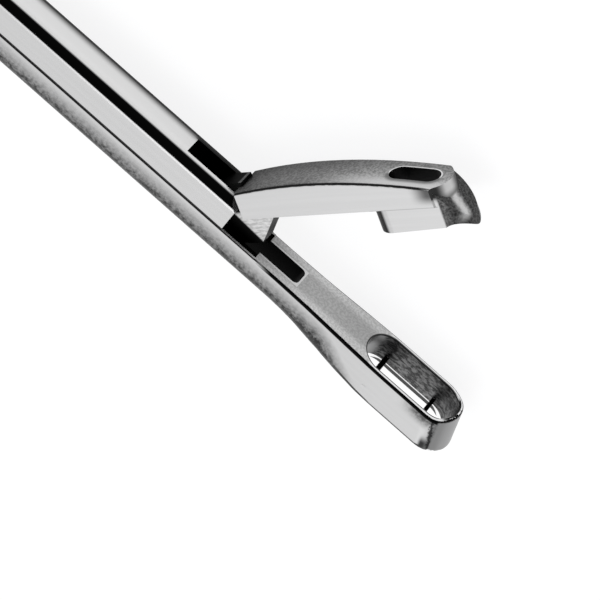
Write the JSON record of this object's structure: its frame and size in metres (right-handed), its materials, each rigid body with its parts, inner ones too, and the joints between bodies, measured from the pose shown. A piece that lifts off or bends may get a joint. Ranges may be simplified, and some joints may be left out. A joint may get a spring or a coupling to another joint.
{
  "type": "biopsy forceps",
  "caption": "Ring-handled biopsy punch: a sliding bar on a fixed rail swings a narrow oblong cutter into a windowed fixed jaw.",
  "frame": {"origin": "centre of the thumb ring's bore, on the middle plane of the instrument", "axes": "+X along the shaft towards the jaws, +Y the side that the upper jaw opens to, +Z across the instrument, up when it lies on its side"},
  "size_m": [0.2855, 0.1294, 0.0077],
  "materials": {
    "rail_steel": "satin sides, bead-blasted jaw face, polished belly",
    "bar_steel": "satin with polished edges",
    "jaw_steel": "bead-blasted with satin sides",
    "handle_steel": "satin",
    "screw_steel": "turned and polished",
    "pin_steel": "ground"
  },
  "bodies": {
    "shaft": {"fixed_rail": "rail_steel", "rear_handle": "handle_steel", "pivot_screw": "screw_steel", "hub_rivets": "pin_steel", "jaw_pivot_pin": "pin_steel", "rear_cross_pin": "pin_steel", "front_cross_pin": "pin_steel", "rear_guide_stud": "pin_steel", "middle_guide_stud": "pin_steel", "front_guide_stud": "pin_steel"},
    "bar": {"sliding_bar": "bar_steel", "jaw_link_pin": "pin_steel", "drive_pin": "pin_steel"},
    "jaw": {"upper_jaw": "jaw_steel"},
    "front_lever": {"front_handle": "handle_steel"}
  },
  "joints": [
    {"name": "front_handle_swing", "type": "hinge", "parent": "shaft", "child": "front_lever", "pos_m": [0.06777, 0.05295, 0], "axis": [0, 0, -1], "range_deg": [0, 18.01]},
    {"name": "bar_slide", "type": "slide", "parent": "shaft", "child": "bar", "axis": [1, 0, 0], "range_m": [0, 0.00279]},
    {"name": "upper_jaw_swing", "type": "hinge", "parent": "shaft", "child": "jaw", "pos_m": [0.24097, 0.0594, 0], "axis": [0, 0, -1], "range_deg": [0, 53.7]}
  ],
  "couplings": [
    {"joint": "bar_slide", "follows": "front_handle_swing", "m_per_rad": 0.0088732},
    {"joint": "upper_jaw_swing", "follows": "front_handle_swing", "ratio": 2.9813}
  ]
}
